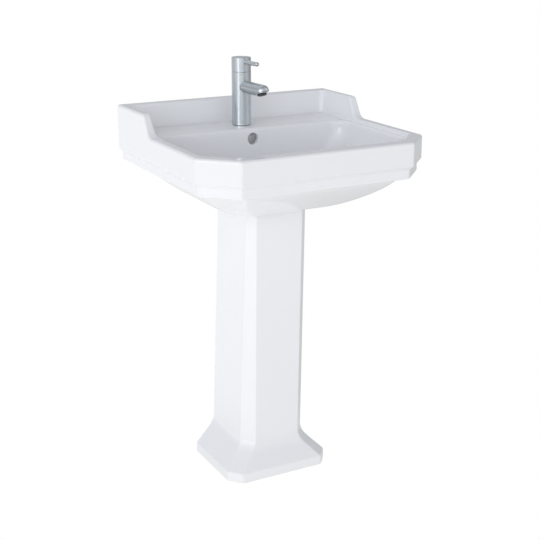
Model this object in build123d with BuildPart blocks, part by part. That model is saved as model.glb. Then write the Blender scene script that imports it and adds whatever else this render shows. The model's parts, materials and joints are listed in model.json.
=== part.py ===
from build123d import *
import os
from math import cos, pi, radians, sin, sqrt, tan

os.makedirs("parts", exist_ok=True)

# Pedestal sink. Millimetres, +Z up from the floor, +X to the user's right, +Y towards the wall.
# The origin is on the floor under the middle of the basin's width and depth.

# Basin, outside
basin_width = 560.0
basin_depth = 502.0
corner_cut = 71.0
corner_round = 10.0
rim_height = 840.0
upstand_height = 48.0
apron_depth = 82.5
lower_tier_height = 20.5
tier_step = 9.0
tier_edge_round = 3.0
rim_edge_round = 6.0

# Basin, upstand and its swept ends, measured from the wall
upstand_top_run = 152.0
upstand_foot_run = 181.0
upstand_top_round = 13.0
upstand_foot_round = 28.0
upstand_back_foot = 30.0
upstand_draft = 5.0
upstand_inner_round = 4.5
inner_corner_round = 14.0

# Basin, deck and bowl
deck_drop = 8.0
deck_thickness = 14.0
deck_run = 144.0
deck_cove = 5.0
side_rim = 24.0
front_rim = 34.0
bowl_ledge = 13.0
lip_round = 7.0
bowl_depth = 137.0
bowl_corner_round = 24.0
bowl_back_round = 45.0
bowl_floor_half_width = 108.0
bowl_floor_front = 300.0
bowl_floor_back = 172.0
bowl_floor_cut = 34.0
bowl_levels = 6

# Basin, underside
belly_height = 98.5
belly_top_half_width = 248.0
belly_top_front = 474.0
belly_top_cut = 60.0
belly_floor_half_width = 99.0
belly_floor_front = 284.0
belly_floor_cut = 14.0
belly_back = 107.0
belly_fullness = 1.25
belly_levels = 6
back_wall = 12.0
hollow_side_wall = 21.0
wall_bolt_spacing = 280.0
wall_bolt_radius = 7.0
wall_bolt_drop = 53.0

# Basin, water ways
tap_hole_radius = 17.5
tap_from_wall = 86.0
overflow_radius = 14.0
overflow_drop = 33.0
duct_width = 36.0
duct_depth = 14.0
duct_front_wall = 9.0
duct_headroom = 1.5
duct_floor = 9.0
waste_from_wall = 222.0
waste_hole_radius = 23.0
dish_radius = 48.0
dish_depth = 6.0

# Pedestal
pedestal_wall = 11.0
shaft_top_half_width = 76.7
shaft_top_front = 277.0
shaft_top_back = 108.0
shaft_top_cut_x = 16.9
shaft_top_cut_y = 15.9
shaft_foot_height = 92.0
shaft_foot_half_width = 83.6
shaft_foot_front = 265.0
shaft_foot_back = 78.0
shaft_foot_cut_x = 24.8
shaft_foot_cut_y = 31.7
shaft_edge_round = 4.0
plinth_height = 22.0
plinth_half_width = 135.0
plinth_front = 296.0
plinth_cut_x = 26.4
plinth_cut_y = 32.9
plinth_edge_round = 7.0
plinth_corner_round = 10.0
flare_bend = 35.0
flare_levels = 5
back_slot_half_width = 48.0
lug_width = 36.0
lug_depth = 50.0
lug_thickness = 16.0
lug_root = 1.0
floor_screw_spacing = 112.0
floor_screw_radius = 4.0
floor_screw_from_wall = 125.0
seal_strip = 2.0

# Tap, outside
tap_radius = 23.0
tap_seam_rise = 126.0
tap_top_rise = 159.0
seam_gap = 0.6
tap_edge_round = 1.2
base_seal_thickness = 1.2
base_seal_inset = 1.6
spout_radius = 14.0
spout_rise = 91.9
spout_tilt = 0.8
spout_reach = 120.0
spout_nose_round = 10.0
spout_bore_radius = 7.0
spout_seat_depth = 6.0
braze_gap = 0.05
outlet_reach = 103.6
outlet_drop = 4.9
outlet_tilt = 22.0
outlet_bore_radius = 9.0
aerator_ring_radius = 11.4
aerator_ring_height = 2.2
aerator_thread_height = 6.0
aerator_wall = 1.6
aerator_seal_thickness = 1.5
aerator_nozzle_radius = 10.8
aerator_nozzle_height = 3.8
aerator_hole_radius = 0.8
aerator_hole_spacing = 2.5

# Tap, cartridge and handle
cartridge_radius = 15.0
cartridge_fit = 0.1
cartridge_seat_drop = 25.8
cartridge_height = 19.0
neck_radius = 11.5
neck_height = 12.0
chamber_radius = 13.2
cartridge_floor = 4.0
cartridge_seal_thickness = 1.2
port_radius = 2.6
port_front = 8.0
nut_radius = 17.5
nut_thread_gap = 0.1
nut_dome_radius = 16.5
nut_height = 10.5
nut_dome_round = 4.0
running_gap = 0.3
disc_thickness = 3.4
disc_gap = 0.2
fixed_disc_radius = 13.0
moving_disc_radius = 8.8
carrier_thickness = 3.6
rotor_radius = 9.7
rotor_flange_radius = 12.6
rotor_flange_height = 2.4
pivot_rise = 0.6
stem_width = 6.0
stem_top_gap = 4.0
stem_ball_radius = 2.4
stem_neck_radius = 1.8
stem_square_lift = 2.9
stem_slot_half_length = 7.2
stem_slot_gap = 0.3
pivot_pin_radius = 1.5
pivot_pin_gap = 0.05
cap_wall = 2.6
cap_top = 4.0
cap_hub_radius = 9.0
cap_hub_length = 15.0
handle_lift = 18.0
lever_radius = 5.0
lever_drop = 10.5
lever_tilt = 1.6
lever_reach = 85.0
lever_tip_round = 4.5
lever_seat = 6.5
grub_radius = 2.0
grub_length = 4.6
grub_key_radius = 1.0
grub_access_radius = 2.4
grub_drop = 15.0

# Tap, water ways and fixing
inlet_radius = 5.0
inlet_depth = 16.0
base_recess_radius = 17.0
base_recess_height = 40.0
inlet_bush_radius = 6.6
riser_length = 14.0
inlet_spacing = 16.0
inlet_back = 4.0
inlet_way_radius = 3.2
stud_radius = 4.0
stud_front = 9.0
stud_seat = 16.0
stud_length = 130.0
clamp_radius = 19.5
clamp_rubber_thickness = 3.0
clamp_plate_thickness = 2.5
clamp_slot_half_width = 14.5
stud_nut_flats = 13.0
stud_nut_height = 11.0

# Waste
flange_radius = 32.0
flange_thickness = 3.0
waste_tail_radius = 20.9
waste_bore_radius = 17.4
waste_tail_length = 96.0
waste_slot_width = 12.0
waste_slot_height = 14.0
seal_thickness = 1.5
seal_inset = 1.0
bottom_seal_height = 5.0
bottom_seal_radius = 30.0
back_nut_flats = 52.0
back_nut_height = 9.0
spider_drop = 24.0
spider_height = 5.0
spider_bar = 4.0
spider_hub_radius = 9.0
click_body_radius = 7.0
click_body_length = 26.0
click_bore_radius = 5.2
click_floor = 2.0
click_guide = 2.6
click_collar_radius = 8.5
spring_wire_radius = 0.6
spring_radius = 4.3
spring_turns = 6
plug_radius = 29.0
plug_thickness = 5.0
plug_stroke = 9.0
plug_dome_round = 3.5
plug_seal_radius = 25.0
plug_seal_bore = 20.0
plug_seal_thickness = 2.0
plug_stem_radius = 3.4
plug_stem_length = 34.0
plug_collar_radius = 4.9
plug_collar_height = 2.0

# Bottle trap
trap_nut_radius = 27.0
trap_nut_height = 23.0
trap_nut_lip = 4.0
trap_neck_flange_radius = 20.7
trap_neck_flange = 3.0
trap_seal_thickness = 2.5
trap_neck_radius = 18.0
trap_neck_bore = 16.1
trap_neck_length = 26.0
trap_head_radius = 32.0
trap_head_height = 42.0
trap_outlet_height = 20.0
trap_wall = 3.0
trap_cup_radius = 31.0
trap_cup_height = 88.0
trap_cup_round = 14.0
trap_cup_overlap = 12.0
trap_cup_seal_thickness = 1.5
trap_thread_gap = 0.1
trap_dip_radius = 16.0
trap_dip_wall = 1.8
trap_dip_length = 100.0
outlet_socket_radius = 19.5
outlet_socket_length = 22.0
outlet_stop_radius = 14.0
outlet_pipe_seat = 18.0
outlet_pipe_radius = 16.0
outlet_pipe_wall = 2.0
outlet_pipe_from_wall = 14.0
outlet_spigot = 40.0
outlet_mark_width = 1.0
outlet_mark_depth = 0.4
outlet_nut_radius = 24.0
outlet_nut_length = 18.0
grip_ribs = 18
grip_rib_radius = 1.4

# Worked out places
wall_y = basin_depth / 2
front_y = -basin_depth / 2
upstand_top = rim_height + upstand_height
apron_bottom = rim_height - apron_depth
lower_tier_top = apron_bottom + lower_tier_height
deck_height = rim_height - deck_drop
deck_underside = deck_height - deck_thickness
bowl_floor = deck_height - bowl_depth
belly_bottom = apron_bottom - belly_height
pedestal_top = belly_bottom - seal_strip
bend_share = flare_bend / (shaft_foot_height - plinth_height)
tap_y = wall_y - tap_from_wall
waste_y = wall_y - waste_from_wall
cant_shrink = 2 - sqrt(2)
body_bottom = deck_height + base_seal_thickness
body_top = deck_height + tap_seam_rise
cap_bottom = body_top + seam_gap
cap_crown = deck_height + tap_top_rise
spout_height = deck_height + spout_rise
pivot_height = body_top + pivot_rise
cartridge_seat = body_top - cartridge_seat_drop
housing_bottom = cartridge_seat + cartridge_seal_thickness
housing_shoulder = housing_bottom + cartridge_height
neck_top = housing_shoulder + neck_height
fixed_disc_bottom = housing_bottom + cartridge_floor
moving_disc_bottom = fixed_disc_bottom + disc_thickness + disc_gap
carrier_bottom = moving_disc_bottom + disc_thickness
rotor_bottom = carrier_bottom + carrier_thickness + running_gap
chamber_top = rotor_bottom + rotor_flange_height + running_gap
ball_height = carrier_bottom + carrier_thickness / 2
recess_roof = body_bottom + base_recess_height
port_places = [(-inlet_spacing / 2, tap_y + inlet_back), (inlet_spacing / 2, tap_y + inlet_back)]
mixed_port = (0, tap_y - port_front)
outlet_axis_height = spout_height + outlet_reach * sin(radians(spout_tilt))
outlet_y = tap_y - outlet_reach * cos(radians(spout_tilt))
dish_seat = bowl_floor - dish_depth
flange_top = dish_seat + seal_thickness + flange_thickness
tail_end = flange_top - waste_tail_length
plug_underside = flange_top + running_gap + plug_seal_thickness
stem_end = plug_underside - plug_stem_length
click_top = stem_end + plug_collar_height + plug_stroke + 2 * running_gap + click_guide
neck_flange_top = tail_end - trap_seal_thickness
head_top = neck_flange_top - trap_neck_length
head_bottom = head_top - trap_head_height
cup_shoulder = head_bottom - trap_cup_seal_thickness
outlet_height = head_bottom + trap_outlet_height
socket_end = trap_head_radius + outlet_socket_length
pipe_end = waste_from_wall - outlet_pipe_from_wall
spout_start = tap_radius - spout_seat_depth
spout_plane = Plane(
    origin=(0, tap_y, spout_height),
    x_dir=(1, 0, 0),
    z_dir=(0, -cos(radians(spout_tilt)), sin(radians(spout_tilt))),
)
nozzle_plane = Plane(
    origin=(0, outlet_y, outlet_axis_height - outlet_drop),
    x_dir=(1, 0, 0),
    z_dir=(0, sin(radians(outlet_tilt)), cos(radians(outlet_tilt))),
)

# how close an edge's middle has to be to be picked
near = 0.1


def save(piece, name):
    piece.part.label = name
    export_step(piece.part, f"parts/{name}.step")


def canted_section(height, half_width, front, back, cut_x, cut_y, front_round, back_round):
    # level outline with two canted front corners, its corners rounded
    with BuildSketch(Plane.XY.offset(height)) as section:
        with BuildLine():
            Polyline(
                (-half_width, back),
                (-half_width, front + cut_y),
                (-half_width + cut_x, front),
                (half_width - cut_x, front),
                (half_width, front + cut_y),
                (half_width, back),
                close=True,
            )
        make_face()
        if front_round > 0:
            fillet(section.vertices().sort_by(Axis.Y)[:4], front_round)
        if back_round > 0:
            fillet(section.vertices().sort_by(Axis.Y)[-2:], back_round)
    return section.sketch


def apron_section(height, inset):
    # outside of the basin, drawn in by the inset on the sides and front
    cut = corner_cut - inset * cant_shrink
    return canted_section(height, basin_width / 2 - inset, front_y + inset, wall_y, cut, cut,
                          corner_round, 0)


def well_section(height, spread):
    # inside of the rim and upstand, let out by the spread
    cut = corner_cut - (side_rim - spread) * cant_shrink
    return canted_section(height, basin_width / 2 - side_rim + spread, front_y + front_rim - spread,
                          wall_y - upstand_back_foot + spread, cut, cut, corner_round, inner_corner_round)


def belly_section(fall):
    spread = (1 - fall ** belly_fullness) ** (1 / belly_fullness)
    cut = belly_floor_cut + (belly_top_cut - belly_floor_cut) * spread
    half_width = belly_floor_half_width + (belly_top_half_width - belly_floor_half_width) * spread
    front = belly_floor_front + (belly_top_front - belly_floor_front) * spread
    return canted_section(apron_bottom - belly_height * fall, half_width, wall_y - front,
                          wall_y - belly_back, cut, cut, corner_round, 0)


def bowl_section(turn):
    # level outline of the bowl on a quarter turn from the lip to the floor
    spread = cos(turn)
    lip_inset = side_rim + bowl_ledge
    lip_cut = corner_cut - lip_inset * cant_shrink
    lip_half_width = basin_width / 2 - lip_inset
    lip_front = basin_depth - front_rim - bowl_ledge
    cut = bowl_floor_cut + (lip_cut - bowl_floor_cut) * spread
    half_width = bowl_floor_half_width + (lip_half_width - bowl_floor_half_width) * spread
    front = bowl_floor_front + (lip_front - bowl_floor_front) * spread
    back = bowl_floor_back + (deck_run - bowl_floor_back) * spread
    return canted_section(deck_height - bowl_depth * sin(turn), half_width, wall_y - front, wall_y - back,
                          cut, cut, bowl_corner_round, bowl_back_round)


def shaft_section(height, fall, inset):
    # column outline between its top and the start of the flare
    half_width = shaft_top_half_width + (shaft_foot_half_width - shaft_top_half_width) * fall
    front = shaft_top_front + (shaft_foot_front - shaft_top_front) * fall
    back = shaft_top_back + (shaft_foot_back - shaft_top_back) * fall
    cut_x = shaft_top_cut_x + (shaft_foot_cut_x - shaft_top_cut_x) * fall
    cut_y = shaft_top_cut_y + (shaft_foot_cut_y - shaft_top_cut_y) * fall
    return canted_section(height, half_width - inset, wall_y - front + inset, wall_y - back - inset,
                          cut_x - inset * cant_shrink, cut_y - inset * cant_shrink,
                          shaft_edge_round, shaft_edge_round)


def flare_section(fall):
    # column outline between shaft and plinth, which bends outwards and then runs straight
    run = 1 / (1 - bend_share / 2)
    share = run * fall ** 2 / (2 * bend_share) if fall < bend_share else run * (fall - bend_share / 2)
    height = shaft_foot_height - (shaft_foot_height - plinth_height) * fall
    half_width = shaft_foot_half_width + (plinth_half_width - shaft_foot_half_width) * share
    front = shaft_foot_front + (plinth_front - shaft_foot_front) * share
    cut_x = shaft_foot_cut_x + (plinth_cut_x - shaft_foot_cut_x) * share
    cut_y = shaft_foot_cut_y + (plinth_cut_y - shaft_foot_cut_y) * share
    corner = shaft_edge_round + (plinth_corner_round - shaft_edge_round) * share
    return canted_section(height, half_width, wall_y - front, wall_y - shaft_foot_back, cut_x, cut_y,
                          corner, corner)


def ring(x, y, bottom, height, outer, inner):
    # upright ring or, with no bore, a disc
    with BuildPart() as shape:
        with BuildSketch(Plane.XY.offset(bottom)):
            with Locations((x, y)):
                Circle(outer)
                if inner > 0:
                    Circle(inner, mode=Mode.SUBTRACT)
        extrude(amount=height)
    return shape


# Basin
with BuildPart() as basin:
    extrude(apron_section(lower_tier_top, 0), amount=upstand_top - lower_tier_top + upstand_height)
    # all above the rim, the swept ends and the upstand's top comes off
    with BuildSketch(Plane.YZ) as above_rim:
        with BuildLine():
            Polyline(
                (wall_y, upstand_top),
                (wall_y - upstand_top_run, upstand_top),
                (wall_y - upstand_foot_run, rim_height),
                (front_y, rim_height),
                (front_y, upstand_top + upstand_height),
                (wall_y, upstand_top + upstand_height),
                close=True,
            )
        make_face()
        fillet(above_rim.vertices().sort_by(Axis.X)[2], upstand_foot_round)
        fillet(above_rim.vertices().sort_by(Axis.X)[4], upstand_top_round)
    extrude(amount=basin_width, both=True, mode=Mode.SUBTRACT)
    fillet(
        [
            edge for edge in basin.edges()
            if edge.center().Z > rim_height - near and edge.center().Y < wall_y - near
            and (abs(edge.center().X) > near or edge.center().Y < front_y + near)
        ],
        rim_edge_round,
    )
    # slanted step down to the lower tier
    chamfer(
        [
            edge for edge in basin.edges()
            if abs(edge.center().Z - lower_tier_top) < near and edge.center().Y < wall_y - near
        ],
        tier_step,
    )
    extrude(apron_section(apron_bottom, tier_step), amount=lower_tier_height)
    fillet(
        [
            edge for edge in basin.edges()
            if abs(edge.center().Z - apron_bottom) < near and edge.center().Y < wall_y - near
        ],
        tier_edge_round,
    )
    loft([belly_section(level / (belly_levels - 1)) for level in range(belly_levels)])
    # hollow behind the belly, open below, where the tap is fastened
    with BuildSketch(Plane.XY.offset(apron_bottom)):
        with Locations((0, wall_y - (back_wall + belly_back) / 2)):
            Rectangle(basin_width - 2 * hollow_side_wall, belly_back - back_wall)
    extrude(amount=deck_underside - apron_bottom, mode=Mode.SUBTRACT)
    # well inside the rim and upstand, down to the deck
    loft(
        [well_section(deck_height, 0), well_section(2 * upstand_top - deck_height, 2 * upstand_draft)],
        mode=Mode.SUBTRACT,
    )
    fillet(basin.edges(Select.NEW), upstand_inner_round)
    fillet(
        [edge for edge in basin.edges() if abs(edge.center().Z - deck_height) < near],
        deck_cove,
    )
    loft([bowl_section(pi / 2 * level / (bowl_levels - 1)) for level in range(bowl_levels)],
         mode=Mode.SUBTRACT)
    fillet(
        [edge for edge in basin.edges(Select.LAST) if abs(edge.center().Z - deck_height) < near],
        lip_round,
    )
    # dished seat and hole for the waste
    with Locations((0, waste_y, dish_seat + dish_depth / 2)):
        Cone(flange_radius + seal_inset, dish_radius, dish_depth, mode=Mode.SUBTRACT)
    with Locations((0, waste_y, (dish_seat + belly_bottom) / 2)):
        Cylinder(waste_hole_radius, dish_seat - belly_bottom, mode=Mode.SUBTRACT)
    # overflow hole, and its duct down and forward to the waste hole
    duct_back = wall_y - deck_run + duct_front_wall + duct_depth
    duct_bottom = belly_bottom + duct_floor
    duct_top = rim_height - overflow_drop + overflow_radius + duct_headroom
    with BuildSketch(Plane.XZ.offset(-duct_back + duct_depth)):
        with Locations((0, rim_height - overflow_drop)):
            Circle(overflow_radius)
    extrude(amount=duct_front_wall + bowl_floor_back - deck_run + lip_round, mode=Mode.SUBTRACT)
    with Locations((0, duct_back - duct_depth / 2, (duct_top + duct_bottom) / 2)):
        Box(duct_width, duct_depth, duct_top - duct_bottom, mode=Mode.SUBTRACT)
    with Locations((0, (duct_back + waste_y) / 2, duct_bottom + duct_depth / 2)):
        Box(duct_width, duct_back - waste_y, duct_depth, mode=Mode.SUBTRACT)
    # tap hole through the deck, and the two bolt holes through the back wall
    with Locations((0, tap_y, deck_height - deck_thickness / 2)):
        Cylinder(tap_hole_radius, deck_thickness, mode=Mode.SUBTRACT)
    with BuildSketch(Plane.XZ.offset(-wall_y)):
        with Locations((0, rim_height - wall_bolt_drop)):
            with GridLocations(wall_bolt_spacing, 0, 2, 1):
                Circle(wall_bolt_radius)
    extrude(amount=back_wall, mode=Mode.SUBTRACT)
save(basin, "basin")

# Pedestal
with BuildPart() as shaft:
    loft([shaft_section(shaft_foot_height, 1, 0), shaft_section(pedestal_top, 0, 0)])
    loft([shaft_section(shaft_foot_height, 1, pedestal_wall), shaft_section(pedestal_top, 0, pedestal_wall)],
         mode=Mode.SUBTRACT)

with BuildPart() as pedestal:
    plinth = canted_section(0, plinth_half_width, wall_y - plinth_front, wall_y - shaft_foot_back,
                            plinth_cut_x, plinth_cut_y, plinth_corner_round, plinth_corner_round)
    extrude(plinth, amount=plinth_height)
    loft([flare_section(bend_share), flare_section(1)])
    fillet(
        [
            edge for edge in pedestal.edges()
            if abs(edge.center().Z - plinth_height) < near
            and edge.center().Y < wall_y - shaft_foot_back - near
        ],
        plinth_edge_round,
    )
    loft([flare_section(bend_share * level / (flare_levels - 1)) for level in range(flare_levels)])
    # hollow inside, open at the top, the foot and the back
    extrude(shaft_section(shaft_foot_height, 1, pedestal_wall), amount=-shaft_foot_height,
            mode=Mode.SUBTRACT)
    add(shaft.part)
    slot_front = wall_y - shaft_top_back - 2 * pedestal_wall
    with BuildSketch(Plane.XY):
        with Locations((0, (wall_y + slot_front) / 2)):
            Rectangle(2 * back_slot_half_width, wall_y - slot_front)
    extrude(amount=pedestal_top, mode=Mode.SUBTRACT)
    # lugs for the floor screws
    lug_x = shaft_foot_half_width - pedestal_wall - lug_width / 2 + lug_root
    with BuildSketch(Plane.XY):
        with Locations((-lug_x, wall_y - floor_screw_from_wall), (lug_x, wall_y - floor_screw_from_wall)):
            Rectangle(lug_width, lug_depth)
        with Locations((0, wall_y - floor_screw_from_wall)):
            with GridLocations(floor_screw_spacing, 0, 2, 1):
                Circle(floor_screw_radius, mode=Mode.SUBTRACT)
    extrude(amount=lug_thickness)
save(pedestal, "pedestal")

with BuildPart() as pedestal_seal:
    extrude(shaft_section(pedestal_top, 0, seal_inset), amount=seal_strip)
    extrude(shaft_section(pedestal_top, 0, pedestal_wall), amount=seal_strip, mode=Mode.SUBTRACT)
    with BuildSketch(Plane.XY.offset(pedestal_top)):
        with Locations((0, (wall_y + slot_front) / 2)):
            Rectangle(2 * back_slot_half_width, wall_y - slot_front)
    extrude(amount=seal_strip, mode=Mode.SUBTRACT)
save(pedestal_seal, "pedestal_seal")

# Tap
with BuildPart() as tap_body:
    with BuildSketch(Plane.XY.offset(body_bottom)):
        with Locations((0, tap_y)):
            Circle(tap_radius)
    extrude(amount=body_top - body_bottom)
    fillet(tap_body.edges().group_by(Axis.Z)[-1], tap_edge_round / 2)
    # seat for the cartridge and thread for its nut
    with BuildSketch(Plane.XY.offset(cartridge_seat)):
        with Locations((0, tap_y)):
            Circle(cartridge_radius + cartridge_fit)
    extrude(amount=body_top - cartridge_seat, mode=Mode.SUBTRACT)
    with BuildSketch(Plane.XY.offset(housing_shoulder)):
        with Locations((0, tap_y)):
            Circle(nut_radius + nut_thread_gap)
    extrude(amount=body_top - housing_shoulder, mode=Mode.SUBTRACT)
    # hollow base, with the two water ways and the stud's thread in its roof
    with BuildSketch(Plane.XY.offset(body_bottom)):
        with Locations((0, tap_y)):
            Circle(base_recess_radius)
    extrude(amount=base_recess_height, mode=Mode.SUBTRACT)
    with BuildSketch(Plane.XY.offset(recess_roof)):
        with Locations(*port_places):
            Circle(inlet_way_radius)
    extrude(amount=cartridge_seat - recess_roof, mode=Mode.SUBTRACT)
    with BuildSketch(Plane.XY.offset(recess_roof)):
        with Locations((0, tap_y - stud_front)):
            Circle(stud_radius)
    extrude(amount=stud_seat, mode=Mode.SUBTRACT)
    # mixed water goes from the cartridge down and out to the spout
    with BuildSketch(Plane.XY.offset(spout_height)):
        with Locations(mixed_port):
            Circle(inlet_way_radius)
    extrude(amount=cartridge_seat - spout_height, mode=Mode.SUBTRACT)
    with BuildSketch(spout_plane.offset(port_front - inlet_way_radius)):
        Circle(spout_bore_radius)
    extrude(amount=spout_start - port_front + inlet_way_radius, mode=Mode.SUBTRACT)
    with BuildSketch(spout_plane.offset(spout_start)):
        Circle(spout_radius + braze_gap)
    extrude(amount=tap_radius, mode=Mode.SUBTRACT)
save(tap_body, "tap_body")

with BuildPart() as tap_spout:
    with BuildSketch(spout_plane.offset(spout_start)):
        Circle(spout_radius)
    extrude(amount=spout_reach - spout_start)
    fillet(tap_spout.edges().sort_by(Axis.Y)[0], spout_nose_round)
    # slanted face under the nose, with the aerator's thread
    with BuildSketch(nozzle_plane):
        Rectangle(4 * spout_radius, 2 * spout_reach)
    extrude(amount=-2 * spout_radius, mode=Mode.SUBTRACT)
    with BuildSketch(spout_plane.offset(spout_start)):
        Circle(spout_bore_radius)
    extrude(amount=outlet_reach - spout_start, mode=Mode.SUBTRACT)
    with BuildSketch(nozzle_plane):
        Circle(outlet_bore_radius)
    extrude(amount=aerator_thread_height + aerator_seal_thickness, mode=Mode.SUBTRACT)
save(tap_spout, "tap_spout")

aerator_thread_radius = outlet_bore_radius - nut_thread_gap
aerator_bore = aerator_thread_radius - aerator_wall
with BuildPart() as aerator_seal:
    add(nozzle_plane.location * ring(0, 0, aerator_thread_height, aerator_seal_thickness,
                                     aerator_thread_radius, aerator_bore).part)
save(aerator_seal, "aerator_seal")

with BuildPart() as upright_ring:
    add(ring(0, 0, -aerator_ring_height, aerator_ring_height, aerator_ring_radius, aerator_bore).part)
    fillet(upright_ring.edges().group_by(Axis.Z)[0].sort_by(SortBy.RADIUS)[-1], tap_edge_round)
    add(ring(0, 0, 0, aerator_thread_height, aerator_thread_radius, aerator_bore).part)
with BuildPart() as aerator_ring:
    add(nozzle_plane.location * upright_ring.part)
save(aerator_ring, "aerator_ring")

# spray insert, a plug inside the ring and a nozzle under it
with BuildPart() as upright_insert:
    insert_bottom = -aerator_ring_height - aerator_nozzle_height
    add(ring(0, 0, insert_bottom, aerator_nozzle_height, aerator_nozzle_radius, 0).part)
    fillet(upright_insert.edges().group_by(Axis.Z)[0], tap_edge_round)
    add(ring(0, 0, -aerator_ring_height, aerator_ring_height, aerator_bore, 0).part)
    with BuildSketch(Plane.XY.offset(insert_bottom)):
        Circle(aerator_hole_radius)
        with PolarLocations(aerator_hole_spacing, 6):
            Circle(aerator_hole_radius)
        with PolarLocations(2 * aerator_hole_spacing, 12):
            Circle(aerator_hole_radius)
    extrude(amount=-insert_bottom, mode=Mode.SUBTRACT)
with BuildPart() as aerator_insert:
    add(nozzle_plane.location * upright_insert.part)
save(aerator_insert, "aerator_insert")

save(ring(0, tap_y, deck_height, base_seal_thickness, tap_radius - base_seal_inset, tap_hole_radius),
     "tap_base_seal")

# two risers brazed to the roof of the hollow base, each with a threaded bush for a water tail under it
riser_bottom = recess_roof - riser_length
for place, side in zip(port_places, ("hot", "cold")):
    save(ring(*place, riser_bottom, riser_length, inlet_bush_radius, inlet_way_radius), side + "_riser")
    save(ring(*place, riser_bottom - inlet_depth, inlet_depth, inlet_bush_radius, inlet_radius), side + "_bush")

# Cartridge, fixed pieces
with BuildPart() as cartridge_seal:
    with BuildSketch(Plane.XY.offset(cartridge_seat)):
        with Locations((0, tap_y)):
            Circle(cartridge_radius)
        with Locations(*port_places, mixed_port):
            Circle(inlet_way_radius, mode=Mode.SUBTRACT)
    extrude(amount=cartridge_seal_thickness)
save(cartridge_seal, "cartridge_seal")

with BuildPart() as cartridge_housing:
    add(ring(0, tap_y, housing_bottom, cartridge_height, cartridge_radius, 0).part)
    add(ring(0, tap_y, housing_shoulder, neck_height, neck_radius, 0).part)
    with BuildSketch(Plane.XY.offset(fixed_disc_bottom)):
        with Locations((0, tap_y)):
            Circle(chamber_radius)
    extrude(amount=chamber_top - fixed_disc_bottom, mode=Mode.SUBTRACT)
    with BuildSketch(Plane.XY.offset(chamber_top)):
        with Locations((0, tap_y)):
            Circle(rotor_radius + running_gap)
    extrude(amount=neck_top - chamber_top, mode=Mode.SUBTRACT)
    with BuildSketch(Plane.XY.offset(housing_bottom)):
        with Locations(*port_places, mixed_port):
            Circle(port_radius)
    extrude(amount=cartridge_floor, mode=Mode.SUBTRACT)
save(cartridge_housing, "cartridge_housing")

with BuildPart() as fixed_disc:
    with BuildSketch(Plane.XY.offset(fixed_disc_bottom)):
        with Locations((0, tap_y)):
            Circle(fixed_disc_radius)
        with Locations(*port_places, mixed_port):
            Circle(port_radius, mode=Mode.SUBTRACT)
    extrude(amount=disc_thickness)
save(fixed_disc, "fixed_disc")

with BuildPart() as cartridge_nut:
    nut_bore = neck_radius + running_gap
    thread_height = body_top - housing_shoulder
    add(ring(0, tap_y, housing_shoulder, thread_height, nut_radius, nut_bore).part)
    add(ring(0, tap_y, body_top, nut_height - thread_height, nut_dome_radius, nut_bore).part)
    fillet(cartridge_nut.edges().group_by(Axis.Z)[-1].sort_by(SortBy.RADIUS)[-1], nut_dome_round)
save(cartridge_nut, "cartridge_nut")

# Cartridge, moving pieces
with BuildPart() as moving_disc:
    add(ring(0, tap_y, moving_disc_bottom, disc_thickness, moving_disc_radius, 0).part)
    # pocket for the ball of the stem
    with BuildSketch(Plane.XY.offset(carrier_bottom)):
        with Locations((0, tap_y)):
            Circle(stem_ball_radius + running_gap)
    extrude(amount=ball_height - stem_ball_radius - running_gap - carrier_bottom, mode=Mode.SUBTRACT)
save(moving_disc, "moving_disc")
save(ring(0, tap_y, carrier_bottom, carrier_thickness, moving_disc_radius, stem_ball_radius + running_gap),
     "disc_carrier")

with BuildPart() as cartridge_rotor:
    add(ring(0, tap_y, rotor_bottom, rotor_flange_height, rotor_flange_radius, 0).part)
    add(ring(0, tap_y, rotor_bottom + rotor_flange_height, neck_top - rotor_bottom - rotor_flange_height,
             rotor_radius, 0).part)
    with BuildSketch(Plane.XY.offset(rotor_bottom)):
        with Locations((0, tap_y)):
            Rectangle(stem_width + 2 * stem_slot_gap, 2 * stem_slot_half_length)
    extrude(amount=neck_top - rotor_bottom, mode=Mode.SUBTRACT)
    with BuildSketch(Plane.YZ):
        with Locations((tap_y, pivot_height)):
            Circle(pivot_pin_radius)
    extrude(amount=rotor_radius, both=True, mode=Mode.SUBTRACT)
save(cartridge_rotor, "cartridge_rotor")

with BuildPart() as stem_pin:
    with BuildSketch(Plane.YZ):
        with Locations((tap_y, pivot_height)):
            Circle(pivot_pin_radius)
    extrude(amount=rotor_radius - running_gap, both=True)
save(stem_pin, "stem_pin")

# Handle
stem_top = cap_crown - cap_top - stem_top_gap
with BuildPart() as handle_stem:
    with BuildSketch(Plane.XY.offset(ball_height + stem_square_lift)):
        with Locations((0, tap_y)):
            Rectangle(stem_width, stem_width)
    extrude(amount=stem_top - ball_height - stem_square_lift)
    with BuildSketch(Plane.XY.offset(ball_height)):
        with Locations((0, tap_y)):
            Circle(stem_neck_radius)
    extrude(amount=stem_square_lift)
    with Locations((0, tap_y, ball_height)):
        Sphere(stem_ball_radius)
    with BuildSketch(Plane.YZ):
        with Locations((tap_y, pivot_height)):
            Circle(pivot_pin_radius + pivot_pin_gap)
    extrude(amount=stem_width, both=True, mode=Mode.SUBTRACT)
save(handle_stem, "handle_stem")

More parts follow.
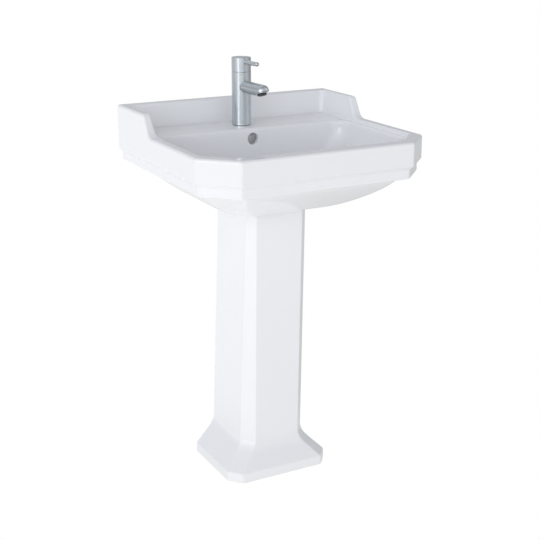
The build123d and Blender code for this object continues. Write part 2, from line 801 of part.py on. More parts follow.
lever_plane = Plane(
    origin=(0, tap_y, cap_crown - lever_drop),
    x_dir=(1, 0, 0),
    z_dir=(0, -cos(radians(lever_tilt)), sin(radians(lever_tilt))),
)
grub_height = cap_crown - grub_drop
with BuildPart() as handle_cap:
    with BuildSketch(Plane.XY.offset(cap_bottom)):
        with Locations((0, tap_y)):
            Circle(tap_radius)
    extrude(amount=cap_crown - cap_bottom)
    fillet(handle_cap.edges().group_by(Axis.Z)[-1], tap_edge_round)
    with BuildSketch(Plane.XY.offset(cap_bottom)):
        with Locations((0, tap_y)):
            Circle(tap_radius - cap_wall)
    extrude(amount=cap_crown - cap_top - cap_bottom, mode=Mode.SUBTRACT)
    # hub for the stem
    with BuildSketch(Plane.XY.offset(cap_crown - cap_top - cap_hub_length)):
        with Locations((0, tap_y)):
            Circle(cap_hub_radius)
            Rectangle(stem_width, stem_width, mode=Mode.SUBTRACT)
    extrude(amount=cap_hub_length)
    # the rear of the lower edge slopes up, so that the cap can tip back
    with BuildSketch(Plane.YZ):
        with BuildLine():
            Polyline(
                (tap_y, cap_bottom),
                (tap_y + 2 * tap_radius, cap_bottom),
                (tap_y + 2 * tap_radius, cap_bottom + 2 * tap_radius * tan(radians(handle_lift))),
                close=True,
            )
        make_face()
    extrude(amount=2 * tap_radius, both=True, mode=Mode.SUBTRACT)
    # seats for the lever and the grub screw
    with BuildSketch(lever_plane.offset(lever_seat)):
        Circle(lever_radius)
    extrude(amount=tap_radius, mode=Mode.SUBTRACT)
    with BuildSketch(Plane.XZ.offset(-tap_y - stem_width / 2)):
        with Locations((0, grub_height)):
            Circle(grub_radius)
    extrude(amount=-tap_radius, mode=Mode.SUBTRACT)
    with BuildSketch(Plane.XZ.offset(-tap_y - cap_hub_radius)):
        with Locations((0, grub_height)):
            Circle(grub_access_radius)
    extrude(amount=-tap_radius, mode=Mode.SUBTRACT)
save(handle_cap, "handle_cap")

with BuildPart() as lever_rod:
    with BuildSketch(lever_plane.offset(lever_seat)):
        Circle(lever_radius)
    extrude(amount=lever_reach - lever_seat)
    fillet(lever_rod.edges().sort_by(Axis.Y)[0], lever_tip_round)
save(lever_rod, "lever_rod")

with BuildPart() as grub_screw:
    with BuildSketch(Plane.XZ.offset(-tap_y - stem_width / 2)):
        with Locations((0, grub_height)):
            Circle(grub_radius)
    extrude(amount=-grub_length)
    with BuildSketch(Plane.XZ.offset(-tap_y - stem_width / 2 - grub_length)):
        with Locations((0, grub_height)):
            RegularPolygon(grub_key_radius, 6)
    extrude(amount=grub_length / 2, mode=Mode.SUBTRACT)
save(grub_screw, "grub_screw")

# Tap fixing under the deck
stud_top = recess_roof + stud_seat
save(ring(0, tap_y - stud_front, stud_top - stud_length, stud_length, stud_radius, 0), "tap_stud")


def horseshoe(bottom, thickness):
    # clamp plate, open at the rear for the two water tails
    with BuildPart() as plate:
        with BuildSketch(Plane.XY.offset(bottom)):
            with Locations((0, tap_y)):
                Circle(clamp_radius)
                with Locations((0, clamp_radius - stud_front + 2 * stud_radius)):
                    Rectangle(2 * clamp_slot_half_width, 2 * clamp_radius, mode=Mode.SUBTRACT)
            with Locations((0, tap_y - stud_front)):
                Circle(stud_radius + nut_thread_gap, mode=Mode.SUBTRACT)
        extrude(amount=thickness)
    return plate


rubber_bottom = deck_underside - clamp_rubber_thickness
plate_bottom = rubber_bottom - clamp_plate_thickness
save(horseshoe(rubber_bottom, clamp_rubber_thickness), "clamp_rubber")
save(horseshoe(plate_bottom, clamp_plate_thickness), "clamp_plate")

with BuildPart() as stud_nut:
    with BuildSketch(Plane.XY.offset(plate_bottom - stud_nut_height)):
        with Locations((0, tap_y - stud_front)):
            RegularPolygon(stud_nut_flats / 2, 6, major_radius=False)
            Circle(stud_radius, mode=Mode.SUBTRACT)
    extrude(amount=stud_nut_height)
save(stud_nut, "stud_nut")

# Waste
with BuildPart() as waste_body:
    add(ring(0, waste_y, flange_top - flange_thickness, flange_thickness, flange_radius, 0).part)
    fillet(waste_body.edges().group_by(Axis.Z)[-1], flange_thickness / 2)
    add(ring(0, waste_y, tail_end, waste_tail_length - flange_thickness, waste_tail_radius, 0).part)
    with BuildSketch(Plane.XY.offset(tail_end)):
        with Locations((0, waste_y)):
            Circle(waste_bore_radius)
    extrude(amount=waste_tail_length, mode=Mode.SUBTRACT)
    fillet(waste_body.edges().group_by(Axis.Z)[-1].sort_by(SortBy.RADIUS)[0], flange_thickness / 2)
    # overflow slots, level with the duct
    with BuildSketch(Plane.XZ.offset(-waste_y)):
        with Locations((0, duct_bottom + duct_depth / 2)):
            Rectangle(waste_slot_width, waste_slot_height)
    extrude(amount=2 * waste_tail_radius, both=True, mode=Mode.SUBTRACT)
    # bridge that carries the click mechanism
    with BuildSketch(Plane.XY.offset(flange_top - spider_drop - spider_height)):
        with Locations((0, waste_y)):
            Rectangle(waste_bore_radius + waste_tail_radius, spider_bar)
            Circle(spider_hub_radius)
            Circle(click_body_radius, mode=Mode.SUBTRACT)
    extrude(amount=spider_height)
save(waste_body, "waste_body")

save(ring(0, waste_y, dish_seat, seal_thickness, flange_radius - seal_inset, waste_tail_radius),
     "waste_top_seal")
save(ring(0, waste_y, belly_bottom - bottom_seal_height, bottom_seal_height, bottom_seal_radius,
          waste_tail_radius), "waste_bottom_seal")

with BuildPart() as waste_back_nut:
    with BuildSketch(Plane.XY.offset(belly_bottom - bottom_seal_height - back_nut_height)):
        with Locations((0, waste_y)):
            RegularPolygon(back_nut_flats / 2, 6, major_radius=False)
            Circle(waste_tail_radius, mode=Mode.SUBTRACT)
    extrude(amount=back_nut_height)
save(waste_back_nut, "waste_back_nut")

click_bottom = click_top - click_body_length
with BuildPart() as click_body:
    add(ring(0, waste_y, click_bottom, click_body_length, click_body_radius, 0).part)
    add(ring(0, waste_y, flange_top - spider_drop, click_guide, click_collar_radius, 0).part)
    with BuildSketch(Plane.XY.offset(click_bottom + click_floor)):
        with Locations((0, waste_y)):
            Circle(click_bore_radius)
    extrude(amount=click_body_length - click_floor - click_guide, mode=Mode.SUBTRACT)
    with BuildSketch(Plane.XY.offset(click_top - click_guide)):
        with Locations((0, waste_y)):
            Circle(plug_stem_radius + running_gap)
    extrude(amount=click_guide, mode=Mode.SUBTRACT)
save(click_body, "click_body")

with BuildPart() as plug_stem:
    add(ring(0, waste_y, stem_end, plug_stem_length, plug_stem_radius, 0).part)
    add(ring(0, waste_y, stem_end, plug_collar_height, plug_collar_radius, 0).part)
save(plug_stem, "plug_stem")

with BuildPart() as plug_cap:
    add(ring(0, waste_y, plug_underside, plug_thickness, plug_radius, 0).part)
    fillet(plug_cap.edges().group_by(Axis.Z)[-1], plug_dome_round)
save(plug_cap, "plug_cap")
save(ring(0, waste_y, flange_top + running_gap, plug_seal_thickness, plug_seal_radius, plug_seal_bore),
     "plug_seal")

# spring wire in half-turn arcs, from the click body's floor to the stem's collar
spring_bottom = click_bottom + click_floor + spring_wire_radius
spring_rise = stem_end - spring_wire_radius - spring_bottom
with BuildPart() as click_spring:
    with BuildLine() as spring_path:
        half_rise = spring_rise / (2 * spring_turns)
        for half in range(2 * spring_turns):
            side = 1 if half % 2 == 0 else -1
            base = spring_bottom + half * half_rise
            ThreePointArc(
                (side * spring_radius, waste_y, base),
                (0, waste_y + side * spring_radius, base + half_rise / 2),
                (-side * spring_radius, waste_y, base + half_rise),
            )
    with BuildSketch(Plane(origin=spring_path.line @ 0, z_dir=spring_path.line % 0)):
        Circle(spring_wire_radius)
    sweep()
save(click_spring, "click_spring")

# Bottle trap
def grip_nut(bottom, height, outer, bore, lip, lip_bore):
    # upright coupling nut with finger ribs and a lip at its lower end
    with BuildPart() as nut:
        with BuildSketch(Plane.XY.offset(bottom)):
            Circle(outer)
            with PolarLocations(outer, grip_ribs):
                Circle(grip_rib_radius)
        extrude(amount=height)
        with BuildSketch(Plane.XY.offset(bottom)):
            Circle(lip_bore)
        extrude(amount=height, mode=Mode.SUBTRACT)
        with BuildSketch(Plane.XY.offset(bottom + lip)):
            Circle(bore)
        extrude(amount=height - lip, mode=Mode.SUBTRACT)
    return nut


save(ring(0, waste_y, neck_flange_top, trap_seal_thickness, waste_tail_radius, trap_neck_bore),
     "trap_inlet_seal")

inlet_nut_bottom = neck_flange_top - trap_neck_flange - trap_nut_lip
with BuildPart() as trap_inlet_nut:
    add(Pos(0, waste_y, inlet_nut_bottom) * grip_nut(
        0, trap_nut_height, trap_nut_radius, waste_tail_radius + trap_thread_gap, trap_nut_lip,
        trap_neck_radius + trap_thread_gap).part)
save(trap_inlet_nut, "trap_inlet_nut")

outlet_plane = Plane(origin=(0, waste_y, outlet_height), x_dir=(1, 0, 0), z_dir=(0, 1, 0))
with BuildPart() as trap_body:
    add(ring(0, waste_y, head_bottom, trap_head_height, trap_head_radius, 0).part)
    fillet(trap_body.edges().group_by(Axis.Z)[-1], trap_wall)
    add(ring(0, waste_y, head_top, trap_neck_length, trap_neck_radius, 0).part)
    add(ring(0, waste_y, neck_flange_top - trap_neck_flange, trap_neck_flange,
             trap_neck_flange_radius, 0).part)
    with BuildSketch(outlet_plane):
        Circle(outlet_socket_radius)
    extrude(amount=socket_end)
    with BuildSketch(Plane.XY.offset(head_bottom)):
        with Locations((0, waste_y)):
            Circle(trap_head_radius - trap_wall)
    extrude(amount=trap_head_height - trap_wall, mode=Mode.SUBTRACT)
    with BuildSketch(Plane.XY.offset(head_bottom)):
        with Locations((0, waste_y)):
            Circle(trap_neck_bore)
    extrude(amount=neck_flange_top - head_bottom, mode=Mode.SUBTRACT)
    with BuildSketch(outlet_plane):
        Circle(outlet_stop_radius)
    extrude(amount=socket_end, mode=Mode.SUBTRACT)
    with BuildSketch(outlet_plane.offset(socket_end - outlet_pipe_seat)):
        Circle(outlet_pipe_radius + trap_thread_gap)
    extrude(amount=outlet_pipe_seat, mode=Mode.SUBTRACT)
save(trap_body, "trap_body")

save(ring(0, waste_y, neck_flange_top - trap_dip_length, trap_dip_length, trap_dip_radius,
          trap_dip_radius - trap_dip_wall), "trap_dip_tube")
save(ring(0, waste_y, cup_shoulder, trap_cup_seal_thickness, trap_head_radius,
          trap_head_radius - trap_wall), "trap_cup_seal")

cup_thread_radius = trap_head_radius - trap_wall - trap_thread_gap
with BuildPart() as cup_hollow:
    add(ring(0, waste_y, cup_shoulder - trap_cup_height + trap_wall,
             trap_cup_height - trap_wall + trap_cup_seal_thickness + trap_cup_overlap,
             cup_thread_radius - trap_wall, 0).part)
    fillet(cup_hollow.edges().group_by(Axis.Z)[0], trap_cup_round - trap_wall)

with BuildPart() as trap_cup:
    add(ring(0, waste_y, cup_shoulder - trap_cup_height, trap_cup_height, trap_cup_radius, 0).part)
    fillet(trap_cup.edges().group_by(Axis.Z)[0], trap_cup_round)
    add(ring(0, waste_y, cup_shoulder, trap_cup_seal_thickness + trap_cup_overlap,
             cup_thread_radius, 0).part)
    add(cup_hollow.part, mode=Mode.SUBTRACT)
save(trap_cup, "trap_cup")

with BuildPart() as trap_outlet_seal:
    with BuildSketch(outlet_plane.offset(socket_end)):
        Circle(outlet_socket_radius)
        Circle(outlet_pipe_radius, mode=Mode.SUBTRACT)
    extrude(amount=trap_seal_thickness)
save(trap_outlet_seal, "trap_outlet_seal")

outlet_nut_end = socket_end + trap_seal_thickness + trap_nut_lip
with BuildPart() as trap_outlet_nut:
    add(outlet_plane.offset(outlet_nut_end).location * Rot(180, 0, 0) * grip_nut(
        0, outlet_nut_length, outlet_nut_radius, outlet_socket_radius + trap_thread_gap, trap_nut_lip,
        outlet_pipe_radius + trap_thread_gap).part)
save(trap_outlet_nut, "trap_outlet_nut")

with BuildPart() as trap_outlet_pipe:
    with BuildSketch(outlet_plane.offset(socket_end - outlet_pipe_seat)):
        Circle(outlet_pipe_radius)
        Circle(outlet_pipe_radius - outlet_pipe_wall, mode=Mode.SUBTRACT)
    extrude(amount=pipe_end - socket_end + outlet_pipe_seat)
    # depth mark round the spigot
    with BuildSketch(outlet_plane.offset(pipe_end - outlet_spigot)):
        Circle(outlet_pipe_radius)
        Circle(outlet_pipe_radius - outlet_mark_depth, mode=Mode.SUBTRACT)
    extrude(amount=-outlet_mark_width, mode=Mode.SUBTRACT)
save(trap_outlet_pipe, "trap_outlet_pipe")
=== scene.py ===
import json
import math
import bpy
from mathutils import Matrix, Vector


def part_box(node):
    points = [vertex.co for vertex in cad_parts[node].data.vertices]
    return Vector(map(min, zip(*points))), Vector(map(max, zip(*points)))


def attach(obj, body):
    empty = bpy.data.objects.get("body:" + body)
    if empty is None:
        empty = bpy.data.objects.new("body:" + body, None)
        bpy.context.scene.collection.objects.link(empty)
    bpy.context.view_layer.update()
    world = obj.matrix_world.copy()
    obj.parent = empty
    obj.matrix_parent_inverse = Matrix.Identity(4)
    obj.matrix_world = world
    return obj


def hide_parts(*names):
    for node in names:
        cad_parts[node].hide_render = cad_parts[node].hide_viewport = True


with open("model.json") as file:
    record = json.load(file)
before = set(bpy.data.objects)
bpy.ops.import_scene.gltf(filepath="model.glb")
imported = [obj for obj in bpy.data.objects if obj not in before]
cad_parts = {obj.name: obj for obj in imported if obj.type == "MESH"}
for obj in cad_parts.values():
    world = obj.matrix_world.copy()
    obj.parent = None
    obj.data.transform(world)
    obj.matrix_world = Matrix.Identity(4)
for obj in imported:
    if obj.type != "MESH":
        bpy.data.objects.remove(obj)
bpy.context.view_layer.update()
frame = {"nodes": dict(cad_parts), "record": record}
nodes = frame["nodes"]
slotOf = {row["node"]: row["material_slot"] for row in frame["record"]["subparts"]}
bodyOf = {name: body for body, names in frame["record"]["behaviour"]["bodies"].items() for name in names}
print("frame loaded,", len(nodes), "nodes")


def linear(hexText):
    # sRGB hex to linear colour
    channels = [int(hexText[i:i + 2], 16) / 255 for i in (0, 2, 4)]
    bent = [c / 12.92 if c <= 0.04045 else ((c + 0.055) / 1.055) ** 2.4 for c in channels]
    return (*bent, 1)


def addNode(tree, kind, settings=None, links=None):
    # one node with its settings, links maps an input to another node's output
    node = tree.nodes.new(kind)
    for name, value in (settings or {}).items():
        if isinstance(name, str) and hasattr(node, name):
            setattr(node, name, value)
        else:
            node.inputs[name].default_value = value
    for name, source in (links or {}).items():
        tree.links.new(source, node.inputs[name])
    return node


def newMaterial(name):
    material = bpy.data.materials.new(name)
    material.use_nodes = True
    tree = material.node_tree
    return material, tree, tree.nodes["Principled BSDF"]


# camera, at the photograph's viewing angle
cameraSet = {
    "place": (-1.1866, -2.1962, 1.3045),  # metres
    "turn": -28.15,  # degrees from looking straight at the wall
    "dip": 17.61,
    "lens": 74.15,  # mm
    "sensor": 36,  # mm
    "sightLimit": 100,  # metres
}
bpy.ops.object.select_all(action="DESELECT")
bpy.ops.object.camera_add(
    location=cameraSet["place"],
    rotation=(math.radians(90 - cameraSet["dip"]), 0, math.radians(cameraSet["turn"])),
)
camera = bpy.context.object
camera.name = "camera"
camera.data.sensor_width = cameraSet["sensor"]
camera.data.lens = cameraSet["lens"]
camera.data.clip_end = cameraSet["sightLimit"]
bpy.context.scene.camera = camera

# studio: a plain white floor and soft lights all round, the camera sees both as pure white
studioSet = {
    "floorSize": 60,  # metres
    "floorDrop": 0.0004,  # metres under the foot, so that the two faces don't meet
    "tint": "f8faff",
    "fill": 0.43,
    # turn from the front to the left and height in degrees, how tight, how strong
    "lights": (
        (-45, 0, 8, 0.84),
        (20, 0, 8, 1.11),
        (45, 0, 8, 0.76),
        (65, 0, 8, 0.80),
        (90, 0, 8, 0.92),
        (75, 40, 6, 0.18),
        (180, 45, 6, 0.58),
        (62, 0, 90, 4.20),
    ),
    # light that the floor gives back, close to the foot and farther out on each side by its turn
    "floorNear": 0.90,
    "floorFar": ((90, 1.02), (-90, 0.54), (0, 0.96), (180, 1.17)),
    "floorTight": 2,
    "floorInGloss": 0.72,  # share of it that polished surfaces reflect
    "footCentre": (0, 0.05, 0),
    "footReach": (0.2, 0.5),  # metres, from near to far
}


def lightWay(turn, height):
    # unit direction towards a light
    turn, height = math.radians(turn), math.radians(height)
    return (-math.sin(turn) * math.cos(height), -math.cos(turn) * math.cos(height), math.sin(height))


def addLobe(tree, direction, way, tight, strength, total):
    # soft patch of light round one direction, added to what is there
    facing = addNode(tree, "ShaderNodeVectorMath", {"operation": "DOT_PRODUCT", 1: way}, {0: direction})
    front = addNode(tree, "ShaderNodeMath", {"operation": "MAXIMUM", 1: 0.0}, {0: facing.outputs["Value"]})
    lobe = addNode(tree, "ShaderNodeMath", {"operation": "POWER", 1: tight}, {0: front.outputs[0]})
    return addNode(tree, "ShaderNodeMath", {"operation": "MULTIPLY_ADD", 1: strength},
                   {0: lobe.outputs[0], 2: total}).outputs[0]


bpy.ops.mesh.primitive_plane_add(size=studioSet["floorSize"], location=(0, 0, -studioSet["floorDrop"]))
floor = bpy.context.object
floor.name = "floor"
floorPaint, tree, shader = newMaterial("paleFloor")
place = addNode(tree, "ShaderNodeTexCoord").outputs["Object"]
offset = addNode(tree, "ShaderNodeVectorMath", {"operation": "SUBTRACT", 1: studioSet["footCentre"]},
                 {0: place})
reach = addNode(tree, "ShaderNodeVectorMath", {"operation": "LENGTH"}, {0: offset.outputs["Vector"]})
nearEnd, farStart = studioSet["footReach"]
away = addNode(tree, "ShaderNodeMapRange",
               {"interpolation_type": "SMOOTHSTEP", "From Min": nearEnd, "From Max": farStart},
               {"Value": reach.outputs["Value"]})
outward = addNode(tree, "ShaderNodeVectorMath", {"operation": "NORMALIZE"}, {0: offset.outputs["Vector"]})
far = addNode(tree, "ShaderNodeValue").outputs[0]
far.default_value = 0
for turn, strength in studioSet["floorFar"]:
    far = addLobe(tree, outward.outputs["Vector"], lightWay(turn, 0), studioSet["floorTight"], strength, far)
given = addNode(tree, "ShaderNodeMix", {"A": studioSet["floorNear"]},
                {"Factor": away.outputs["Result"], "B": far})
seen = addNode(tree, "ShaderNodeLightPath")
share = addNode(tree, "ShaderNodeMapRange", {"To Min": 1.0, "To Max": studioSet["floorInGloss"]},
                {"Value": seen.outputs["Is Glossy Ray"]})
sent = addNode(tree, "ShaderNodeMath", {"operation": "MULTIPLY"},
               {0: given.outputs["Result"], 1: share.outputs["Result"]})
glow = addNode(tree, "ShaderNodeMix", {"B": 1.0},
               {"Factor": seen.outputs["Is Camera Ray"], "A": sent.outputs[0]})
tree.links.new(glow.outputs["Result"], shader.inputs["Emission Strength"])
shader.inputs["Base Color"].default_value = (0, 0, 0, 1)
shader.inputs["Specular IOR Level"].default_value = 0
shader.inputs["Emission Color"].default_value = (1, 1, 1, 1)
floorPaint.cycles.emission_sampling = "NONE"
floor.data.materials.append(floorPaint)

world = bpy.data.worlds.new("studio")
bpy.context.scene.world = world
world.use_nodes = True
tree = world.node_tree
background = tree.nodes["Background"]
direction = addNode(tree, "ShaderNodeTexCoord").outputs["Generated"]
total = addNode(tree, "ShaderNodeValue").outputs[0]
total.default_value = studioSet["fill"]
for turn, height, tight, strength in studioSet["lights"]:
    total = addLobe(tree, direction, lightWay(turn, height), tight, strength, total)
tinted = addNode(tree, "ShaderNodeMix", {"data_type": "RGBA", "blend_type": "MULTIPLY", "Factor": 1.0,
                                         "B": linear(studioSet["tint"])}, {"A": total})
seen = addNode(tree, "ShaderNodeLightPath")
shown = addNode(tree, "ShaderNodeMix", {"data_type": "RGBA", "B": (1, 1, 1, 1)},
                {"Factor": seen.outputs["Is Camera Ray"], "A": tinted.outputs["Result"]})
tree.links.new(shown.outputs["Result"], background.inputs["Color"])
bpy.context.scene.view_settings.view_transform = "Standard"
print("camera and studio ready")

# glazed fireclay: thick clear gloss over white clay, slow waves in the glaze,
# bare matt clay on the back and under the foot where it stood in the kiln
glazeSet = {
    "thick": "eff0f3",
    "thin": "eceded",
    "bare": "d9d2c5",
    "gloss": (0.06, 0.11),
    "bareRoughness": 0.8,
    "ior": 1.52,
    "cloud": 70,  # mm across
    "wave": 26,  # mm across
    "waveHeight": 0.03,  # mm
    "grain": 1.2,  # mm, coarser than real clay so that it shows
    "grainHeight": 0.08,  # mm
    "back": 0.2505,  # metres, bare behind this
    "foot": 0.0006,  # metres, bare below this
}
china, tree, shader = newMaterial("glazedFireclay")
place = addNode(tree, "ShaderNodeTexCoord").outputs["Object"]
axes = addNode(tree, "ShaderNodeSeparateXYZ", None, {"Vector": place})
back = addNode(tree, "ShaderNodeMath", {"operation": "GREATER_THAN", 1: glazeSet["back"]},
               {0: axes.outputs["Y"]})
foot = addNode(tree, "ShaderNodeMath", {"operation": "LESS_THAN", 1: glazeSet["foot"]},
               {0: axes.outputs["Z"]})
bare = addNode(tree, "ShaderNodeMath", {"operation": "MAXIMUM"},
               {0: back.outputs[0], 1: foot.outputs[0]}).outputs[0]
cloud = addNode(tree, "ShaderNodeTexNoise", {"Scale": 1000 / glazeSet["cloud"], "Detail": 3.0},
                {"Vector": place})
glaze = addNode(tree, "ShaderNodeMix", {"data_type": "RGBA", 6: linear(glazeSet["thick"]),
                                        7: linear(glazeSet["thin"])}, {"Factor": cloud.outputs["Fac"]})
skin = addNode(tree, "ShaderNodeMix", {"data_type": "RGBA", 7: linear(glazeSet["bare"])},
               {"Factor": bare, 6: glaze.outputs["Result"]})
gloss = addNode(tree, "ShaderNodeMapRange",
                {"To Min": glazeSet["gloss"][0], "To Max": glazeSet["gloss"][1]},
                {"Value": cloud.outputs["Fac"]})
matt = addNode(tree, "ShaderNodeMix", {"B": glazeSet["bareRoughness"]},
               {"Factor": bare, "A": gloss.outputs["Result"]})
wave = addNode(tree, "ShaderNodeTexNoise", {"Scale": 1000 / glazeSet["wave"], "Detail": 1.0},
               {"Vector": place})
grain = addNode(tree, "ShaderNodeTexNoise", {"Scale": 1000 / glazeSet["grain"], "Detail": 2.0},
                {"Vector": place})
grainOnly = addNode(tree, "ShaderNodeMath", {"operation": "MULTIPLY"}, {0: grain.outputs["Fac"], 1: bare})
ripple = addNode(tree, "ShaderNodeBump", {"Distance": glazeSet["waveHeight"] / 1000},
                 {"Height": wave.outputs["Fac"]})
rough = addNode(tree, "ShaderNodeBump", {"Distance": glazeSet["grainHeight"] / 1000},
                {"Height": grainOnly.outputs[0], "Normal": ripple.outputs["Normal"]})
tree.links.new(skin.outputs["Result"], shader.inputs["Base Color"])
tree.links.new(matt.outputs["Result"], shader.inputs["Roughness"])
tree.links.new(rough.outputs["Normal"], shader.inputs["Normal"])
shader.inputs["IOR"].default_value = glazeSet["ior"]

# polished chrome plate on brass: cool grey mirror with faint upright streaks,
# its reflections drawn out along the piece by the buffing that ran round it
chromeSet = {
    "colour": "cbd1d4",
    "dull": "c4cacd",
    "gloss": (0.24, 0.28),
    "drawnOut": 0.9,
    "acrossBuffing": 0.25,  # turns
    "streak": 0.9,  # mm wide
    "streakLength": 60,  # mm
    "streakHeight": 0.002,  # mm
    "lengthwise": ("tap_spout", "lever_rod"),  # these lie front to back, the others stand upright
}
chromeOf = {}
for axis in "ZY":
    chrome, tree, shader = newMaterial("polishedChrome" + axis)
    place = addNode(tree, "ShaderNodeTexCoord").outputs["Object"]
    across, along = 1000 / chromeSet["streak"], 1000 / chromeSet["streakLength"]
    spread = addNode(tree, "ShaderNodeMapping", {"Scale": (across, across, along)}, {"Vector": place})
    streak = addNode(tree, "ShaderNodeTexNoise", {"Scale": 1.0, "Detail": 2.0},
                     {"Vector": spread.outputs["Vector"]})
    plate = addNode(tree, "ShaderNodeMix", {"data_type": "RGBA", 6: linear(chromeSet["colour"]),
                                            7: linear(chromeSet["dull"])}, {"Factor": streak.outputs["Fac"]})
    gloss = addNode(tree, "ShaderNodeMapRange",
                    {"To Min": chromeSet["gloss"][0], "To Max": chromeSet["gloss"][1]},
                    {"Value": streak.outputs["Fac"]})
    scratch = addNode(tree, "ShaderNodeBump", {"Distance": chromeSet["streakHeight"] / 1000},
                      {"Height": streak.outputs["Fac"]})
    around = addNode(tree, "ShaderNodeTangent", {"direction_type": "RADIAL", "axis": axis})
    tree.links.new(plate.outputs["Result"], shader.inputs["Base Color"])
    tree.links.new(gloss.outputs["Result"], shader.inputs["Roughness"])
    tree.links.new(scratch.outputs["Normal"], shader.inputs["Normal"])
    tree.links.new(around.outputs["Tangent"], shader.inputs["Tangent"])
    shader.inputs["Metallic"].default_value = 1
    shader.inputs["Anisotropic"].default_value = chromeSet["drawnOut"]
    shader.inputs["Anisotropic Rotation"].default_value = chromeSet["acrossBuffing"]
    chromeOf[axis] = chrome

# moulded and rolled stuffs: a colour that drifts between two tones, with a fine grain
stuffSet = {
    "drift": 25,  # mm across
    # slot: name, two tones, roughness from and to, grain and its height in mm, IOR
    "kinds": {
        "black_rubber": ("nitrileRubber", "191918", "26262a", (0.55, 0.7), 1.0, 0.03, 1.52),
        "dark_plastic": ("mouldedAcetal", "1d1e20", "2a2b2e", (0.32, 0.45), 0.8, 0.015, 1.48),
        "white_plastic": ("mouldedPolypropylene", "e4e4e1", "d9dad8", (0.3, 0.42), 2.5, 0.02, 1.49),
        "valve_ceramic": ("lappedAlumina", "ece9e2", "e2dfd6", (0.12, 0.2), 0.6, 0.004, 1.77),
    },
}
finishes = {"glazed_china": china, "polished_chrome": chromeOf["Z"]}
for slotName, (name, light, dark, gloss, grain, height, ior) in stuffSet["kinds"].items():
    stuff, tree, shader = newMaterial(name)
    place = addNode(tree, "ShaderNodeTexCoord").outputs["Object"]
    drift = addNode(tree, "ShaderNodeTexNoise", {"Scale": 1000 / stuffSet["drift"], "Detail": 4.0},
                    {"Vector": place})
    tone = addNode(tree, "ShaderNodeMix", {"data_type": "RGBA", 6: linear(light), 7: linear(dark)},
                   {"Factor": drift.outputs["Fac"]})
    speck = addNode(tree, "ShaderNodeTexNoise", {"Scale": 1000 / grain, "Detail": 2.0}, {"Vector": place})
    shine = addNode(tree, "ShaderNodeMapRange", {"To Min": gloss[0], "To Max": gloss[1]},
                    {"Value": speck.outputs["Fac"]})
    pitted = addNode(tree, "ShaderNodeBump", {"Distance": height / 1000}, {"Height": speck.outputs["Fac"]})
    tree.links.new(tone.outputs["Result"], shader.inputs["Base Color"])
    tree.links.new(shine.outputs["Result"], shader.inputs["Roughness"])
    tree.links.new(pitted.outputs["Normal"], shader.inputs["Normal"])
    shader.inputs["IOR"].default_value = ior
    finishes[slotName] = stuff

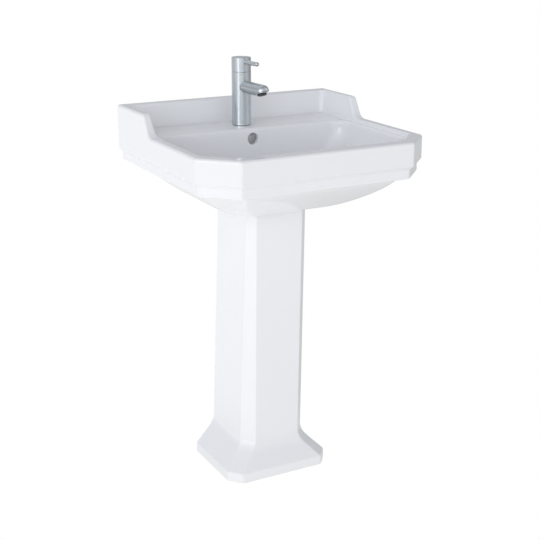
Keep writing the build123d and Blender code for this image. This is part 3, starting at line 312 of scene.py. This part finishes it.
# turned brass and drawn stainless steel: rings from the tool round the piece's own middle line
turnedSet = {
    # slot: name, bright and dull tone, roughness from and to, ring pitch and height in mm
    "kinds": {
        "plain_brass": ("turnedBrass", "d2b064", "b08c45", (0.22, 0.34), 0.7, 0.01),
        "stainless_steel": ("drawnStainless", "c4c4c2", "a9a9a8", (0.2, 0.34), 0.5, 0.006),
    },
    "middle": {"tap": (0, 0.165), "waste": (0, 0.029)},  # metres, x and y
    "tapBehind": 0.1,  # metres, what lies behind this belongs to the tap
    "wander": 0.4,
    "stain": 16.7,  # mm across
    "waveLength": math.pi / 10,  # metres, one wave of the texture at scale 1
}
for slotName, (name, bright, dull, gloss, pitch, height) in turnedSet["kinds"].items():
    for where, (middleX, middleY) in turnedSet["middle"].items():
        metal, tree, shader = newMaterial(name + where.capitalize())
        place = addNode(tree, "ShaderNodeTexCoord").outputs["Object"]
        centred = addNode(tree, "ShaderNodeMapping", {"Location": (-middleX, -middleY, 0)}, {"Vector": place})
        rings = addNode(tree, "ShaderNodeTexWave", {
            "wave_type": "RINGS",
            "rings_direction": "Z",
            "Distortion": turnedSet["wander"],
            "Scale": 1000 * turnedSet["waveLength"] / pitch,
        }, {"Vector": centred.outputs["Vector"]})
        stain = addNode(tree, "ShaderNodeTexNoise", {"Scale": 1000 / turnedSet["stain"], "Detail": 4.0},
                        {"Vector": place})
        tone = addNode(tree, "ShaderNodeMix", {"data_type": "RGBA", 6: linear(bright), 7: linear(dull)},
                       {"Factor": stain.outputs["Fac"]})
        shine = addNode(tree, "ShaderNodeMapRange", {"To Min": gloss[0], "To Max": gloss[1]},
                        {"Value": stain.outputs["Fac"]})
        grooves = addNode(tree, "ShaderNodeBump", {"Distance": height / 1000},
                          {"Height": rings.outputs["Fac"]})
        tree.links.new(tone.outputs["Result"], shader.inputs["Base Color"])
        tree.links.new(shine.outputs["Result"], shader.inputs["Roughness"])
        tree.links.new(grooves.outputs["Normal"], shader.inputs["Normal"])
        shader.inputs["Metallic"].default_value = 1
        finishes[slotName, where] = metal


def finishOf(nodeName):
    slotName = slotOf[nodeName]
    if nodeName in chromeSet["lengthwise"]:
        return chromeOf["Y"]
    if slotName in finishes:
        return finishes[slotName]
    low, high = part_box(nodeName)
    return finishes[slotName, "tap" if (low[1] + high[1]) / 2 > turnedSet["tapBehind"] else "waste"]


for name, node in nodes.items():
    node.data.materials.clear()
    node.data.materials.append(finishOf(name))
print("materials assigned,", len(bpy.data.materials), "in all")

# the large glazed and plated pieces get one joined skin,
# so that the light runs smoothly over their rounded edges
skinSet = {
    "pieces": {
        "basin": "basinGlaze",
        "pedestal": "pedestalGlaze",
        "tap_body": "tapBodyPlate",
        "tap_spout": "tapSpoutPlate",
        "handle_cap": "handleCapPlate",
        "lever_rod": "leverPlate",
        "aerator_ring": "aeratorRingPlate",
        "plug_cap": "plugPlate",
    },
    "weld": 0.000002,  # metres
    "crease": 32,  # degrees, sharper edges stay sharp
}
for nodeName, pieceName in skinSet["pieces"].items():
    bpy.ops.object.select_all(action="DESELECT")
    piece = bpy.data.objects.new(pieceName, nodes[nodeName].data.copy())
    bpy.context.collection.objects.link(piece)
    bpy.context.view_layer.objects.active = piece
    piece.select_set(True)
    bpy.ops.object.mode_set(mode="EDIT")
    bpy.ops.mesh.select_all(action="SELECT")
    bpy.ops.mesh.remove_doubles(threshold=skinSet["weld"])
    bpy.ops.object.mode_set(mode="OBJECT")
    bpy.ops.mesh.customdata_custom_splitnormals_clear()
    bpy.ops.object.shade_smooth_by_angle(angle=math.radians(skinSet["crease"]))
    bpy.ops.object.modifier_add(type="WEIGHTED_NORMAL")
    piece.modifiers[-1].keep_sharp = True
    bpy.ops.object.modifier_apply(modifier=piece.modifiers[-1].name)
    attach(piece, bodyOf[nodeName])
    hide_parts(nodeName)
print("skins joined")
